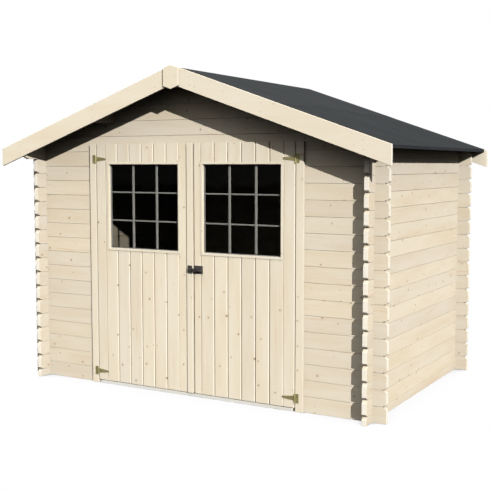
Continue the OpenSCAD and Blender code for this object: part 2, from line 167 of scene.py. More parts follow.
def smooth(nt, value, from_min, from_max, to_min=0.0, to_max=1.0):
    n = add(nt, "ShaderNodeMapRange", interpolation_type="SMOOTHSTEP")
    for socket, v in zip(n.inputs, (value, from_min, from_max, to_min, to_max)):
        put(nt, v, socket)
    return n.outputs["Result"]


def blend_colour(nt, factor, a, b, mode="MIX"):
    n = add(nt, "ShaderNodeMix", data_type="RGBA", blend_type=mode)
    put(nt, factor, n.inputs[0])
    put(nt, a if isinstance(a, bpy.types.NodeSocket) else (*a, 1), n.inputs[6])
    put(nt, b if isinstance(b, bpy.types.NodeSocket) else (*b, 1), n.inputs[7])
    return n.outputs[2]


def ramp(nt, value, stops):
    n = add(nt, "ShaderNodeValToRGB")
    put(nt, value, n.inputs[0])
    elements = n.color_ramp.elements
    while len(elements) < len(stops):
        elements.new(0.5)
    for e, (pos, colour) in zip(elements, stops):
        e.position = pos
        e.color = (*colour, 1)
    return n.outputs["Color"]


def bump(nt, height, strength, distance):
    n = add(nt, "ShaderNodeBump")
    n.inputs["Strength"].default_value = strength
    n.inputs["Distance"].default_value = distance
    put(nt, height, n.inputs["Height"])
    return n.outputs["Normal"]


# ---------------------------------------------------------------- materials

# Knots: cells per metre along and across a board, and the share left bare
KNOT_CELLS = (5.2, 8.0)
KNOT_FREE = 0.40
KNOT_CORE = (0.13, 0.07, 0.035)
KNOT_RIM = (0.66, 0.43, 0.22)
# Growth rings: radians per metre across a board
RINGS = 520.0
# What late wood does to the colour, resin streaks, and fresh end grain
LATE_WOOD = (0.91, 0.86, 0.77)
RESIN = (0.76, 0.55, 0.38)
END_GRAIN = (0.97, 0.92, 0.81)
END_SHARE = 0.65
# The share of the light lost where it goes on from wood to wood
BOUNCE_LOSS = 0.90


def pine(name, pale, warm, cool, knots=1.0, grain=1.0, rough=0.62):
    """Bare planed pine in three shades. The grain attribute holds each board's own
    coordinates, along, across and through the board. Tone is a number for each
    board, and end marks its sawn ends."""
    mat, nt, bsdf = new_material(name)
    here = add(nt, "ShaderNodeAttribute", attribute_name="grain").outputs["Vector"]
    tone = add(nt, "ShaderNodeAttribute", attribute_name="tone").outputs["Fac"]
    end = add(nt, "ShaderNodeAttribute", attribute_name="end").outputs["Fac"]

    # Knots: round spots, in some cells only
    cells = add(nt, "ShaderNodeTexVoronoi", voronoi_dimensions="2D", feature="F1")
    put(nt, scaled(nt, here, (*KNOT_CELLS, 1.0)), cells.inputs["Vector"])
    cells.inputs["Scale"].default_value = 1.0
    cells.inputs["Randomness"].default_value = 0.9
    luck = add(nt, "ShaderNodeSeparateColor")
    put(nt, cells.outputs["Color"], luck.inputs[0])
    # The same cells at true scale give a round distance
    spot = add(nt, "ShaderNodeVectorMath", operation="SUBTRACT")
    put(nt, scaled(nt, here, (*KNOT_CELLS, 0.0)), spot.inputs[0])
    put(nt, cells.outputs["Position"], spot.inputs[1])
    length = add(nt, "ShaderNodeVectorMath", operation="LENGTH")
    true_scale = (1 / KNOT_CELLS[0], 1 / KNOT_CELLS[1], 0.0)
    put(nt, scaled(nt, spot.outputs[0], true_scale), length.inputs[0])
    wobble = noise(nt, here, 90.0, 2.0)
    away = maths(nt, "ADD", length.outputs["Value"], -0.002)
    away = maths(nt, "MULTIPLY_ADD", wobble, 0.004, away)
    size = maths(nt, "MULTIPLY_ADD", luck.outputs[1], 0.0042, 0.0026)
    there = maths(nt, "MULTIPLY", maths(nt, "GREATER_THAN", luck.outputs[0], KNOT_FREE),
                  maths(nt, "MULTIPLY_ADD", luck.outputs[2], 0.6, 0.4))
    core = maths(nt, "MULTIPLY", there, smooth(nt, maths(nt, "DIVIDE", away, size), 1.25, 0.75))
    ring = maths(nt, "MULTIPLY", there, smooth(nt, maths(nt, "DIVIDE", away, size), 4.2, 0.9))

    # Growth rings and fine fibres, bent aside by the knots
    drift = noise(nt, scaled(nt, here, (0.9, 5.0, 5.0)), 1.0, 3.0, 0.5, 0.4)
    parts = add(nt, "ShaderNodeSeparateXYZ")
    put(nt, here, parts.inputs[0])
    across = maths(nt, "MULTIPLY_ADD", drift, 0.09, parts.outputs["Y"])
    across = maths(nt, "MULTIPLY_ADD", ring, 0.012, across)
    band = maths(nt, "SINE", maths(nt, "MULTIPLY", across, RINGS))
    band = smooth(nt, band, -0.2, 1.0)
    fibre = noise(nt, scaled(nt, here, (5.0, 420.0, 420.0)), 1.0, 3.0, 0.6)
    cloud = noise(nt, scaled(nt, here, (1.4, 9.0, 9.0)), 1.0, 4.0, 0.6)

    colour = ramp(nt, tone, [(0.0, cool), (0.45, pale), (1.0, warm)])
    shade = blend_colour(nt, 1.0, colour, LATE_WOOD, "MULTIPLY")
    mixed = maths(nt, "MULTIPLY", band, 0.16 * grain)
    mixed = maths(nt, "MULTIPLY_ADD", smooth(nt, cloud, 0.35, 0.72), 0.50 * grain, mixed)
    mixed = maths(nt, "MULTIPLY_ADD", smooth(nt, fibre, 0.4, 0.8), 0.22 * grain, mixed, clamp=True)
    colour = blend_colour(nt, mixed, colour, shade)
    resin = noise(nt, scaled(nt, here, (2.2, 55.0, 55.0)), 1.0, 3.0, 0.55)
    resin = maths(nt, "MULTIPLY", smooth(nt, resin, 0.57, 0.72), smooth(nt, drift, 0.48, 0.62))
    colour = blend_colour(nt, maths(nt, "MULTIPLY", resin, 0.62 * grain), colour, RESIN)
    colour = blend_colour(nt, maths(nt, "MULTIPLY", ring, 0.30 * knots), colour, KNOT_RIM)
    colour = blend_colour(nt, maths(nt, "MULTIPLY", core, 0.86 * knots), colour, KNOT_CORE)
    # Fresh saw cuts across the grain are paler than the planed faces
    colour = blend_colour(nt, maths(nt, "MULTIPLY", end, END_SHARE), colour, END_GRAIN)
    # Less light goes on from wood to wood, so corners and soffits stay dark
    path = add(nt, "ShaderNodeLightPath").outputs
    again = maths(nt, "MAXIMUM", path["Is Diffuse Ray"], path["Is Glossy Ray"])
    colour = blend_colour(nt, maths(nt, "MULTIPLY", again, BOUNCE_LOSS), colour, (0.0, 0.0, 0.0))
    put(nt, colour, bsdf.inputs["Base Color"])
    put(nt, smooth(nt, fibre, 0.2, 0.9, rough - 0.06, rough + 0.08), bsdf.inputs["Roughness"])
    bsdf.inputs["Specular IOR Level"].default_value = 0.3
    relief = maths(nt, "MULTIPLY_ADD", band, -0.35, fibre)
    relief = maths(nt, "MULTIPLY_ADD", core, -0.6, relief)
    put(nt, bump(nt, relief, 0.35, 0.0006), bsdf.inputs["Normal"])
    return mat


def metal(name, light, dark, rough, metallic):
    """Metal with faint mottling and a fine rough grain."""
    mat, nt, bsdf = new_material(name)
    here = add(nt, "ShaderNodeTexCoord").outputs["Object"]
    patch = noise(nt, here, 45.0, 5.0, 0.65)
    speck = noise(nt, here, 900.0, 2.0)
    mixed = maths(nt, "MULTIPLY_ADD", speck, 0.35, maths(nt, "MULTIPLY", patch, 0.75), clamp=True)
    put(nt, blend_colour(nt, mixed, dark, light), bsdf.inputs["Base Color"])
    put(nt, smooth(nt, patch, 0.25, 0.8, rough - 0.08, rough + 0.12), bsdf.inputs["Roughness"])
    put(nt, bump(nt, speck, 0.2, 0.0003), bsdf.inputs["Normal"])
    bsdf.inputs["Metallic"].default_value = metallic
    return mat


def felt_material():
    """Bitumen felt: mineral grains, clouds and faint streaks down the slope."""
    mat, nt, bsdf = new_material("roof_felt")
    here = add(nt, "ShaderNodeAttribute", attribute_name="grain").outputs["Vector"]
    tone = add(nt, "ShaderNodeAttribute", attribute_name="tone").outputs["Fac"]
    grains = noise(nt, here, 650.0, 2.0, 0.7)
    cloud = noise(nt, here, 3.0, 5.0, 0.62)
    streak = noise(nt, scaled(nt, here, (1.2, 14.0, 1.0)), 1.0, 3.0, 0.55)
    mixed = maths(nt, "MULTIPLY_ADD", grains, 0.45, maths(nt, "MULTIPLY", cloud, 0.35))
    mixed = maths(nt, "MULTIPLY_ADD", streak, 0.30, mixed)
    mixed = maths(nt, "MULTIPLY_ADD", tone, 0.16, mixed)
    colour = ramp(nt, mixed, [(0.25, (0.010, 0.012, 0.0135)), (0.55, (0.0175, 0.0205, 0.0225)),
                              (0.85, (0.033, 0.036, 0.039))])
    put(nt, colour, bsdf.inputs["Base Color"])
    bsdf.inputs["Roughness"].default_value = 0.88
    bsdf.inputs["Specular IOR Level"].default_value = 0.22
    put(nt, bump(nt, grains, 0.55, 0.0012), bsdf.inputs["Normal"])
    return mat


GLASS_TINT = (0.71, 0.71, 0.70)
GLASS_SHINE = 0.012


def glass_material():
    """Grey float glass, thin enough to let the sun through unbent."""
    mat, nt, bsdf = new_material("window_glass")
    nt.nodes.remove(bsdf)
    here = add(nt, "ShaderNodeTexCoord").outputs["Object"]
    wave = noise(nt, here, 5.0, 1.0)
    normal = bump(nt, wave, 0.25, 0.004)
    clear = add(nt, "ShaderNodeBsdfTransparent")
    clear.inputs["Color"].default_value = (*GLASS_TINT, 1)
    gloss = add(nt, "ShaderNodeBsdfGlossy")
    gloss.inputs["Roughness"].default_value = 0.03
    gloss.inputs["Color"].default_value = (1, 1, 1, 1)
    put(nt, normal, gloss.inputs["Normal"])
    # Schlick's rule, the same from both faces of the pane
    facing = add(nt, "ShaderNodeLayerWeight")
    put(nt, normal, facing.inputs["Normal"])
    steep = maths(nt, "POWER", facing.outputs["Facing"], 5.0)
    both = add(nt, "ShaderNodeMixShader")
    put(nt, maths(nt, "MULTIPLY_ADD", steep, 0.90, GLASS_SHINE), both.inputs[0])
    put(nt, clear.outputs[0], both.inputs[1])
    put(nt, gloss.outputs[0], both.inputs[2])
    put(nt, both.outputs[0], nt.nodes["Material Output"].inputs["Surface"])
    return mat


LOG_PINE = pine("log_pine", (0.805, 0.717, 0.575), (0.838, 0.740, 0.572), (0.765, 0.683, 0.568),
                grain=1.35)
DOOR_PINE = pine("door_pine", (0.848, 0.765, 0.614), (0.872, 0.778, 0.600), (0.800, 0.720, 0.595),
                 grain=1.15)
TRIM_PINE = pine("trim_pine", (0.845, 0.760, 0.608), (0.850, 0.758, 0.595), (0.830, 0.750, 0.610),
                 knots=0.6, grain=0.8)
# Roof boards and purlins: the same pine drawn far darker, as painted shade for the soffits under
# the overhang
ROOF_PINE_PAINTED_SHADE = pine("roof_pine", (0.420, 0.362, 0.278), (0.430, 0.362, 0.268), (0.404, 0.352, 0.278))
BAR_PINE = pine("bar_pine", (0.940, 0.920, 0.880), (0.945, 0.920, 0.870), (0.935, 0.918, 0.885),
                knots=0.0, grain=0.5)
THRESHOLD_WOOD = pine("threshold_wood", (0.760, 0.745, 0.690), (0.770, 0.745, 0.680),
                      (0.745, 0.735, 0.690), knots=0.3, grain=0.6)
ZINC = metal("zinc_iron", (0.62, 0.55, 0.27), (0.42, 0.37, 0.16), 0.46, 0.65)
SCREW_ZINC = metal("screw_zinc", (0.46, 0.42, 0.24), (0.26, 0.23, 0.12), 0.38, 0.85)
BLACK_IRON = metal("black_iron", (0.150, 0.134, 0.130), (0.062, 0.053, 0.046), 0.36, 0.5)
ROD_STEEL = metal("rod_steel", (0.42, 0.40, 0.42), (0.26, 0.24, 0.26), 0.32, 0.9)
NAIL_STEEL = metal("nail_steel", (0.36, 0.33, 0.30), (0.20, 0.18, 0.16), 0.5, 0.8)
FELT = felt_material()
GLASS = glass_material()

# ---------------------------------------------------------------- piece builder

# How far a face may lean from a board's end and still count as sawn: a cosine
END_LEAN = 0.8
# How far apart the boards' places in the grain may lie, and the spread of tones
GRAIN_SPREAD = 60.0
TONE_SPREAD = 0.2


class Piece:
    """Boards and other solids that are collected into one object. Each board
    gets its own place in the grain, its own tone and marked end faces."""

    def __init__(self, name, body, slot, material, seed):
        self.name, self.body, self.slot, self.material = name, body, slot, material
        self.random = random.Random(seed)
        self.verts, self.faces = [], []
        self.grain, self.tone, self.end = [], [], []

    def board(self, outline, depth, matrix, along="u", edge=1.0 * MM, segments=2,
              key=None, bend=None):
        """Adds the outline, drawn in u and v, extruded by depth along w. The
        grain runs along u, v or w. Boards with one key share grain and tone."""
        rng = random.Random(f"{self.name}{key}") if key is not None else self.random
        shift = Vector([rng.uniform(0, GRAIN_SPREAD) for _ in range(3)])
        tone = min(1.0, max(0.0, rng.gauss(0.5, TONE_SPREAD)))
        bm = bmesh.new()
        near = [bm.verts.new((u, v, 0.0)) for u, v in outline]
        far = [bm.verts.new((u, v, depth)) for u, v in outline]
        bm.faces.new(near[::-1])
        bm.faces.new(far)
        count = len(outline)
        for i in range(count):
            bm.faces.new((near[i], near[(i + 1) % count], far[(i + 1) % count], far[i]))
        bmesh.ops.recalc_face_normals(bm, faces=bm.faces)
        if edge > 0:
            bmesh.ops.bevel(bm, geom=list(bm.edges), offset=edge, offset_type="OFFSET",
                            segments=segments, profile=0.5, affect="EDGES", clamp_overlap=True)
        if bend:
            for v in bm.verts:
                v.co = bend(v.co)
        bm.verts.index_update()
        bm.normal_update()
        axis = {"u": 0, "v": 1, "w": 2}[along]
        order = {"u": (0, 1, 2), "v": (1, 0, 2), "w": (2, 0, 1)}[along]
        flip = matrix.determinant() < 0
        start = len(self.verts)
        for v in bm.verts:
            self.verts.append(matrix @ v.co)
            self.grain.append(Vector([v.co[i] for i in order]) + shift)
            self.tone.append(tone)
        for f in bm.faces:
            ring = [start + v.index for v in f.verts]
            self.faces.append(ring[::-1] if flip else ring)
            self.end.append(1.0 if abs(f.normal[axis]) > END_LEAN else 0.0)
        bm.free()

    def box(self, x0, x1, y0, y1, z0, z1, along="x", **kw):
        """Adds a board parallel to the axes."""
        a, b, c, d, e, f = x0, x1, y0, y1, z0, z1
        if along == "x":
            m = Matrix(((1, 0, 0, 0), (0, 0, -1, d), (0, 1, 0, 0), (0, 0, 0, 1)))
            self.board([(a, e), (b, e), (b, f), (a, f)], d - c, m, "u", **kw)
        elif along == "z":
            m = Matrix(((1, 0, 0, 0), (0, 0, -1, d), (0, 1, 0, 0), (0, 0, 0, 1)))
            self.board([(a, e), (b, e), (b, f), (a, f)], d - c, m, "v", **kw)
        else:
            m = Matrix(((0, 0, 1, a), (1, 0, 0, 0), (0, 1, 0, 0), (0, 0, 0, 1)))
            self.board([(c, e), (d, e), (d, f), (c, f)], b - a, m, "u", **kw)

    def finish(self, *nodes, smooth_faces=True):
        mesh = bpy.data.meshes.new(self.name)
        mesh.from_pydata([tuple(v) for v in self.verts], [], self.faces)
        mesh.attributes.new("grain", "FLOAT_VECTOR", "POINT").data.foreach_set(
            "vector", [c for g in self.grain for c in g])
        mesh.attributes.new("tone", "FLOAT", "POINT").data.foreach_set("value", self.tone)
        mesh.attributes.new("end", "FLOAT", "FACE").data.foreach_set("value", self.end)
        mesh.materials.append(self.material)
        obj = bpy.data.objects.new(self.name, mesh)
        bpy.context.scene.collection.objects.link(obj)
        if smooth_faces:
            mesh.shade_smooth()
            even = obj.modifiers.new("even_normals", "WEIGHTED_NORMAL")
            even.weight = 80
        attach(obj, self.body)
        if nodes:
            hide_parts(*nodes)
        return obj


def clip(outline, keep):
    """Cuts a convex outline, keeping the side where keep(point) is 0 or more."""
    result = []
    for i, p in enumerate(outline):
        q = outline[(i + 1) % len(outline)]
        kp, kq = keep(p), keep(q)
        if kp >= 0:
            result.append(p)
        if kp * kq < 0:
            t = kp / (kp - kq)
            result.append((p[0] + t * (q[0] - p[0]), p[1] + t * (q[1] - p[1])))
    return result


# ---------------------------------------------------------------- log walls

# Maps (u, v, w) to (x, z, y): w runs from a wall's outer face inwards
FRONT_WALL = Matrix(((1, 0, 0, 0), (0, 0, 1, FRONT_Y), (0, 1, 0, 0), (0, 0, 0, 1)))
BACK_WALL = Matrix(((1, 0, 0, 0), (0, 0, -1, BACK_Y), (0, 1, 0, 0), (0, 0, 0, 1)))
RIGHT_WALL = Matrix(((0, 0, -1, WALL_X), (1, 0, 0, 0), (0, 1, 0, 0), (0, 0, 0, 1)))
LEFT_WALL = Matrix(((0, 0, 1, -WALL_X), (1, 0, 0, 0), (0, 1, 0, 0), (0, 0, 0, 1)))


def log_outline(a, b, z0, z1, cut_a, cut_b, low_cut=TIP_CUT, high_cut=TIP_CUT):
    """Side view of a log from a to b, with corners cut off its free tips. Under
    each tip the end of the log's groove shows as a slot behind the cut corner."""
    la, lb = (low_cut if cut_a else 0), (low_cut if cut_b else 0)
    ha, hb = (high_cut if cut_a else 0), (high_cut if cut_b else 0)
    slot_a = [(a + la - SLOT_H, z0 + SLOT_H), (a + la + SLOT_L, z0 + SLOT_H), (a + la + SLOT_L, z0)]
    slot_b = [(b - lb - SLOT_L, z0), (b - lb - SLOT_L, z0 + SLOT_H), (b - lb + SLOT_H, z0 + SLOT_H)]
    points = [(a, z0 + la)] + (slot_a if la else [(a, z0)]) + (slot_b if lb else [(b, z0)])
    points += [(b, z0 + lb), (b, z1 - hb), (b - hb, z1), (a + ha, z1), (a, z1 - ha)]
    return [p for i, p in enumerate(points) if p != points[i - 1]]


def roof_cut(outline):
    """The part of a convex outline that lies under the roof boards."""
    for side in (-1, 1):
        outline = clip(outline, lambda p: under_z(0) - side * p[0] * RISE - FIT - p[1])
    return outline


def row_span(z):
    """Lower and upper edge of the log whose row starts at height z."""
    return (z + LOG_GAP / 2 if z > 0 else 0.0), z + LOG_ROW - LOG_GAP / 2


def tongue(piece, wall, a, b, z, roof=False):
    """The hidden tongue that shuts the joint over a row against the light."""
    low_z, high_z = z - TONGUE_H / 2, z + TONGUE_H / 2
    outline = [(a, low_z), (b, low_z), (b, high_z), (a, high_z)]
    if roof:
        outline = roof_cut(outline)
    if outline:
        middle = wall @ Matrix.Translation((0, 0, (LOG_T - TONGUE_W) / 2))
        piece.board(outline, TONGUE_W, middle, "u", edge=0, key="tongue")


def wall_rows(name, node, wall, rows, a, b, cut_a, cut_b, seed, roof=False):
    """The rows of a front or back wall from a to b. Each tip that is cut has
    its corners off, save where the eaves come down on it."""
    piece = Piece(name, "shed", "log_pine", LOG_PINE, seed)
    tongue_a = max(a + LOG_EDGE, LOG_T / 2 - WALL_X)
    tongue_b = min(b - LOG_EDGE, WALL_X - LOG_T / 2)
    for k in rows:
        z0, z1 = row_span(k * LOG_ROW)
        low_tip = z0 < under_z(TIP_X) - TIP_CUT
        outline = log_outline(a, b, z0, z1, cut_a and low_tip, cut_b and low_tip,
                              TIP_CUT if z0 > 0 else 0)
        if roof:
            outline = roof_cut(outline)
        piece.board(outline, LOG_T, wall, "u", edge=LOG_EDGE)
        tongue(piece, wall, tongue_a, tongue_b, (k + 1) * LOG_ROW, roof or k == DOOR_ROWS - 1)
    piece.finish(node)


low_rows = range(DOOR_ROWS)
high_rows = range(DOOR_ROWS, GABLE_ROWS)
wall_rows("front_logs_left", "front_wall_left", FRONT_WALL, low_rows,
          -TIP_X, -OPEN_X, True, False, 11)
wall_rows("front_logs_right", "front_wall_right", FRONT_WALL, low_rows,
          OPEN_X, TIP_X, False, True, 12)
wall_rows("front_gable_logs", "front_gable", FRONT_WALL, high_rows,
          -TIP_X, TIP_X, True, True, 13, True)
wall_rows("back_logs", "back_wall", BACK_WALL, low_rows,
          -TIP_X, TIP_X, True, True, 14)
wall_rows("back_gable_logs", "back_gable", BACK_WALL, high_rows,
          -TIP_X, TIP_X, True, True, 15, True)


def side_logs(name, wall, node, seed):
    """Side rows lie half a row off the front ones; the top one meets the roof
    and runs on to the barge boards."""
    piece = Piece(name, "shed", "log_pine", LOG_PINE, seed)
    rows = math.floor(EAVES_Z / LOG_ROW - 0.5)
    for j in range(rows + 1):
        z0, z1 = row_span((j - 0.5) * LOG_ROW)
        top = j == rows
        if top:
            z1 = under_z(WALL_X - LOG_T)
        outline = log_outline(TOP_LOG_Y0 if top else SIDE_Y0, SIDE_Y1, max(z0, 0.0), z1, True, True,
                              0 if j == 0 else TIP_CUT, 0 if top else TIP_CUT)

        def to_roof(co):
            """Cuts the top log's upper side along the roof's slope."""
            limit = under_z(WALL_X - co.z) - FIT
            return Vector((co.x, min(co.y, limit), co.z))

        piece.board(outline, LOG_T, wall, "u", edge=LOG_EDGE, bend=to_roof if top else None)
        if not top:
            tongue(piece, wall, FRONT_Y + LOG_T / 2, BACK_Y - LOG_T / 2, (j + 0.5) * LOG_ROW)
    piece.finish(node)


side_logs("left_logs", LEFT_WALL, "left_wall", 16)
side_logs("right_logs", RIGHT_WALL, "right_wall", 17)

# ---------------------------------------------------------------- doorway

JAMB_T = 20 * MM
lining = Piece("doorway_lining", "shed", "trim_pine", TRIM_PINE, 21)
lo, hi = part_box("door_lining")
for side in (-1, 1):
    inner = hi.x - JAMB_T
    x0, x1 = sorted((side * inner, side * hi.x))
    lining.box(x0, x1, lo.y, hi.y, lo.z, hi.z, "z")
lining.box(-hi.x + JAMB_T + FIT, hi.x - JAMB_T - FIT, lo.y, hi.y, hi.z - JAMB_T, hi.z, "x")
lining.finish("door_lining")

sill = Piece("threshold_board", "shed", "threshold_wood", THRESHOLD_WOOD, 22)
lo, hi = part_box("threshold")
sill.box(lo.x, hi.x, lo.y, hi.y, lo.z, hi.z, "x", edge=1.5 * MM)
sill.finish("threshold")

FRAME_BOARD_W = 58 * MM
trims = Piece("doorway_boards", "shed", "trim_pine", TRIM_PINE, 23)
lo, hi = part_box("frame_boards")
for side in (-1, 1):
    x0, x1 = sorted((side * (hi.x - FRAME_BOARD_W), side * hi.x))
    trims.box(x0, x1, lo.y, hi.y, lo.z, hi.z, "z", edge=1.8 * MM)
trims.finish("frame_boards")

# ---------------------------------------------------------------- doors

LEAF_BACK_Y = LEAF_Y + LEAF_T
# Half a joint between door boards: a chamfer W wide and D deep, then a slit
JOINT_W = 7.4 * MM
JOINT_D = 4.6 * MM
SLIT_W = 3.0 * MM
SLIT_D = 13 * MM
EDGE_CUT = 1.5 * MM
BOARD_FIT = 0.05 * MM
# Parts of a board beside the window's hole that are narrower are left out
PART_LEAST = 1 * MM


def joint_side(x, inward, jointed):
    """Front corner of a door board: chamfered and thinned where boards meet."""
    if not jointed:
        return [(x, LEAF_Y + EDGE_CUT), (x + inward * EDGE_CUT, LEAF_Y)]
    return [(x, LEAF_Y + SLIT_D), (x + inward * SLIT_W, LEAF_Y + SLIT_D),
            (x + inward * SLIT_W, LEAF_Y + JOINT_D), (x + inward * JOINT_W, LEAF_Y)]


def split_board(piece, x0, x1, hole, joints, key):
    """One upright door board, cut round the window's hole."""
    hx0, hx1, hz0, hz1 = hole

    def part(a, b, z0, z1):
        if b - a < PART_LEAST:
            return
        section = [(a, LEAF_BACK_Y)] + joint_side(a, 1, joints[0] and abs(a - x0) < 1e-6)
        section += joint_side(b, -1, joints[1] and abs(b - x1) < 1e-6)[::-1] + [(b, LEAF_BACK_Y)]
        up = Matrix(((1, 0, 0, 0), (0, 1, 0, 0), (0, 0, 1, z0), (0, 0, 0, 1)))
        start = len(piece.grain)
        piece.board(section, z1 - z0, up, "w", edge=0, key=key)
        for i in range(start, len(piece.grain)):
            piece.grain[i].x += z0

    if x1 <= hx0 or x0 >= hx1:
        part(x0, x1, DOOR_Z0, DOOR_Z1)
        return
    part(x0, x1, DOOR_Z0, hz0)
    part(x0, x1, hz1, DOOR_Z1)
    part(x0, min(x1, hx0), hz0, hz1)
    part(max(x0, hx1), x1, hz0, hz1)


LEDGE_H = 90 * MM


def door(side_name, side, seed):
    """One leaf with its ledges and its casing strips, and its glazing bars."""
    body = side_name + "_door"
    leaf_lo, leaf_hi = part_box(side_name + "_leaf")
    case_lo, case_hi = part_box(side_name + "_casing")
    hole = (case_lo.x + CASING_W, case_hi.x - CASING_W, case_lo.z + CASING_W, case_hi.z - CASING_W)
    outer = max(abs(leaf_lo.x), abs(leaf_hi.x))
    inner = leaf_hi.x if side < 0 else leaf_lo.x
    joints = [side * outer]
    x = outer - EDGE_BOARD
    while x > 2 * abs(inner):
        joints.append(side * x)
        x -= DOOR_BOARD
    joints.append(inner)
    leaf = Piece(side_name + "_leaf_boards", body, "door_pine", DOOR_PINE, seed)
    for i in range(len(joints) - 1):
        x0, x1 = sorted(joints[i:i + 2])
        ends = [i > 0, i < len(joints) - 2][::side]
        split_board(leaf, x0 + BOARD_FIT, x1 - BOARD_FIT, hole, ends, f"{side_name}{i}")
    leaf.finish(side_name + "_leaf", smooth_faces=False)

    ledges = Piece(side_name + "_ledge_boards", body, "door_pine", DOOR_PINE, seed + 1)
    lo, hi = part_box(side_name + "_ledges")
    for z0, z1 in ((lo.z, lo.z + LEDGE_H), (case_lo.z - LEDGE_H, case_lo.z), (case_hi.z, hi.z)):
        ledges.box(lo.x, hi.x, lo.y, hi.y, z0 + FIT, z1 - FIT, "x", edge=1.5 * MM)
    ledges.finish(side_name + "_ledges")

    casing = Piece(side_name + "_casing_strips", body, "trim_pine", TRIM_PINE, seed + 2)
    rim = (case_lo.x, case_hi.x, case_lo.z, case_hi.z)
    lip_y = case_hi.y - CASING_LIP
    front_y = case_lo.y + CASING_T
    mitred_frame(casing, *rim, front_y - CASING_SHOWN, front_y, CASING_W)
    mitred_frame(casing, *rim, LEAF_BACK_Y + FIT, lip_y, CASING_W - GLASS_LAP)
    mitred_frame(casing, *rim, lip_y, case_hi.y, CASING_W)
    casing.finish(side_name + "_casing")
    window_bars(side_name, body, seed + 3)


STRIP_EDGE = 1.2 * MM


def mitred_frame(piece, x0, x1, z0, z1, y0, y1, w):
    """Four strips of width w round a window, joined by mitres."""
    face = Matrix(((1, 0, 0, 0), (0, 0, 1, y0), (0, 1, 0, 0), (0, 0, 0, 1)))
    gap = FIT / 2
    for z, s in ((z0, 1), (z1, -1)):
        piece.board([(x0 + gap, z), (x1 - gap, z), (x1 - w - gap, z + s * w),
                     (x0 + w + gap, z + s * w)], y1 - y0, face, "u", edge=STRIP_EDGE)
    for x, s in ((x0, 1), (x1, -1)):
        piece.board([(x, z0 + gap), (x, z1 - gap), (x + s * w, z1 - w - gap),
                     (x + s * w, z0 + w + gap)], y1 - y0, face, "v", edge=STRIP_EDGE)


BAR_RIM = 12 * MM
UPRIGHT_W = 20 * MM
LEVEL_W = 12 * MM
LEVEL_BACK = 3 * MM
PANES = 3


def window_bars(side_name, body, seed):
    """Rim and glazing bars behind the glass; the upright bars run through."""
    lo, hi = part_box(side_name + "_bars")
    piece = Piece(side_name + "_glazing_bars", body, "bar_pine", BAR_PINE, seed)
    for x0, x1 in ((lo.x, lo.x + BAR_RIM), (hi.x - BAR_RIM, hi.x)):
        piece.box(x0, x1, lo.y, hi.y, lo.z, hi.z, "z", edge=1.5 * MM)
    for z0, z1 in ((lo.z, lo.z + BAR_RIM), (hi.z - BAR_RIM, hi.z)):
        piece.box(lo.x + BAR_RIM, hi.x - BAR_RIM, lo.y, hi.y, z0, z1, "x", edge=1.5 * MM)
    pane_w = (hi.x - lo.x - 2 * BAR_RIM - (PANES - 1) * UPRIGHT_W) / PANES
    pane_h = (hi.z - lo.z - 2 * BAR_RIM - (PANES - 1) * LEVEL_W) / PANES
    for i in range(1, PANES):
        x0 = lo.x + BAR_RIM + i * pane_w + (i - 1) * UPRIGHT_W
        piece.box(x0, x0 + UPRIGHT_W, lo.y, hi.y, lo.z + BAR_RIM, hi.z - BAR_RIM, "z",
                  edge=4.5 * MM, segments=3)
    for k in range(1, PANES):
        z0 = lo.z + BAR_RIM + k * pane_h + (k - 1) * LEVEL_W
        for i in range(PANES):
            x0 = lo.x + BAR_RIM + i * (pane_w + UPRIGHT_W)
            piece.box(x0, x0 + pane_w, lo.y + LEVEL_BACK, hi.y, z0, z0 + LEVEL_W, "x",
                      edge=3 * MM, segments=2)
    piece.finish(side_name + "_bars")


door("left", -1, 31)
door("right", 1, 41)

batten = Piece("cover_batten_board", "left_door", "trim_pine", TRIM_PINE, 51)
lo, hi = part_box("cover_batten")
batten.box(lo.x, hi.x, lo.y, hi.y, lo.z, hi.z, "z", edge=2.0 * MM)
batten.finish("cover_batten")

# ---------------------------------------------------------------- roof


def slope(side, x0, lift):
    """Frame on a roof slope: u down the slope from the ridge, v along Y, w up."""
    c, s = math.cos(ROOF_PITCH), math.sin(ROOF_PITCH)
    z = under_z(x0) + lift
    return Matrix(((side * c, 0, side * s, side * x0), (0, 1, 0, 0), (-s, 0, c, z), (0, 0, 0, 1)))


def plumb(co):
    """Turns a board's square ends upright on the roof's slope."""
    return Vector((co.x - co.z * RISE, co.y, co.z))


def roof_side(name, side, seed):
    """The roof boards of one side, each from the ridge to the eaves."""
    node = name + "_roof_boards"
    lo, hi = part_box(node)
    run = max(abs(lo.x), abs(hi.x)) / math.cos(ROOF_PITCH)
    boards = Piece(name + "_roof_planks", "shed", "roof_pine", ROOF_PINE_PAINTED_SHADE, seed)
    m = slope(side, 0.0, 0.0)
    for i in range(math.ceil((hi.y - lo.y) / ROOF_BOARD)):
        y0 = lo.y + i * ROOF_BOARD
        v0, v1 = y0 + BOARD_GAP / 2, min(y0 + ROOF_BOARD, hi.y) - BOARD_GAP / 2
        boards.board([(RIDGE_GAP, v0), (run, v0), (run, v1), (RIDGE_GAP, v1)], ROOF_T, m, "u",
                     edge=ROOF_EDGE, bend=plumb)
    boards.finish(node)


roof_side("left", -1, 61)
roof_side("right", 1, 62)


for i, node in enumerate(("left_purlin", "right_purlin", "ridge_purlin")):
    lo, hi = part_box(node)
    beam = Piece(node + "_beam", "shed", "roof_pine", ROOF_PINE_PAINTED_SHADE, 71 + i)
    xs = sorted({lo.x, hi.x, 0.0} if lo.x < 0 < hi.x else {lo.x, hi.x})
    top = [(x, under_z(x) - FIT) for x in reversed(xs)]
    across = Matrix(((1, 0, 0, 0), (0, 0, -1, hi.y), (0, 1, 0, 0), (0, 0, 0, 1)))
    beam.board([(lo.x, lo.z), (hi.x, lo.z)] + top, hi.y - lo.y, across, "w", edge=2 * MM)
    beam.finish(node)

